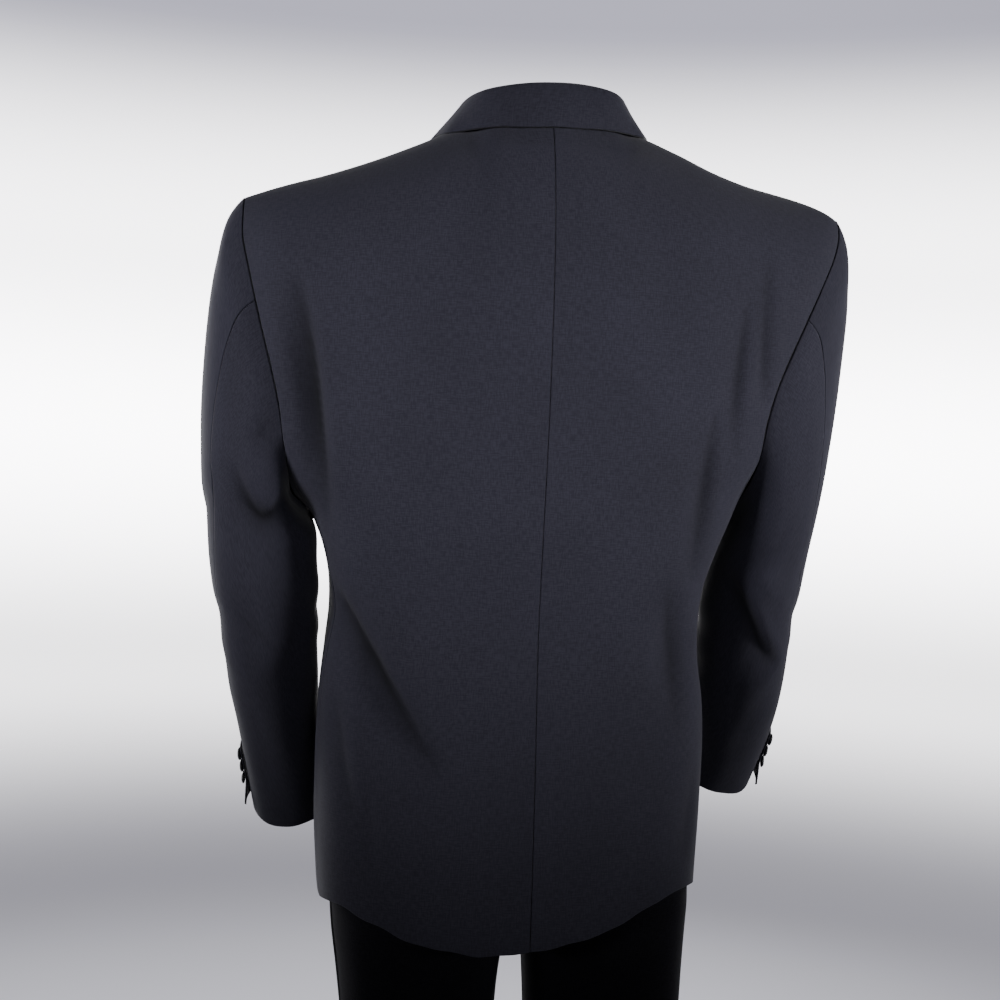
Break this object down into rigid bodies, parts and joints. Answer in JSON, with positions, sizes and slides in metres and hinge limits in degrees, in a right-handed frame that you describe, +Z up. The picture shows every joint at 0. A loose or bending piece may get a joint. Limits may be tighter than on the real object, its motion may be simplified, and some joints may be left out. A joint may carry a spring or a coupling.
{
  "type": "men's tuxedo suit, jacket and trousers as worn",
  "caption": "Hollow worn evening suit: one-button jacket with satin lapels, centre back seam and bent sleeves, over straight trousers with satin side braid.",
  "frame": {"origin": "at the wearer's nape, between the shoulders, at the level of the shoulder line's top", "axes": "+X to the wearer's left, -Y to the front, +Z up along the standing figure"},
  "size_m": [0.5938, 0.2809, 1.5172],
  "materials": {
    "jacket_wool": "fine dark navy-charcoal worsted, matt with a faint weave",
    "trouser_wool": "fine near-black worsted, matt",
    "satin": "black satin with a soft sheen",
    "button_cloth": "black satin-covered button"
  },
  "bodies": {
    "root": {"jacket_back_left": "jacket_wool", "jacket_back_right": "jacket_wool", "jacket_side_left": "jacket_wool", "jacket_side_right": "jacket_wool", "jacket_front_left": "jacket_wool", "jacket_front_right": "jacket_wool", "sleeve_upper_left": "jacket_wool", "sleeve_under_left": "jacket_wool", "sleeve_upper_right": "jacket_wool", "sleeve_under_right": "jacket_wool", "collar": "jacket_wool", "breast_welt": "jacket_wool", "vent_flap_left": "jacket_wool", "vent_flap_right": "jacket_wool", "lapel_left": "satin", "lapel_right": "satin", "pocket_jets_left": "satin", "pocket_jets_right": "satin", "side_braid_left": "satin", "side_braid_right": "satin", "front_button": "button_cloth", "sleeve_button_left_1": "button_cloth", "sleeve_button_left_2": "button_cloth", "sleeve_button_left_3": "button_cloth", "sleeve_button_right_1": "button_cloth", "sleeve_button_right_2": "button_cloth", "sleeve_button_right_3": "button_cloth", "trouser_back_left": "trouser_wool", "trouser_front_left": "trouser_wool", "trouser_back_right": "trouser_wool", "trouser_front_right": "trouser_wool", "waistband": "trouser_wool"}
  },
  "joints": []
}
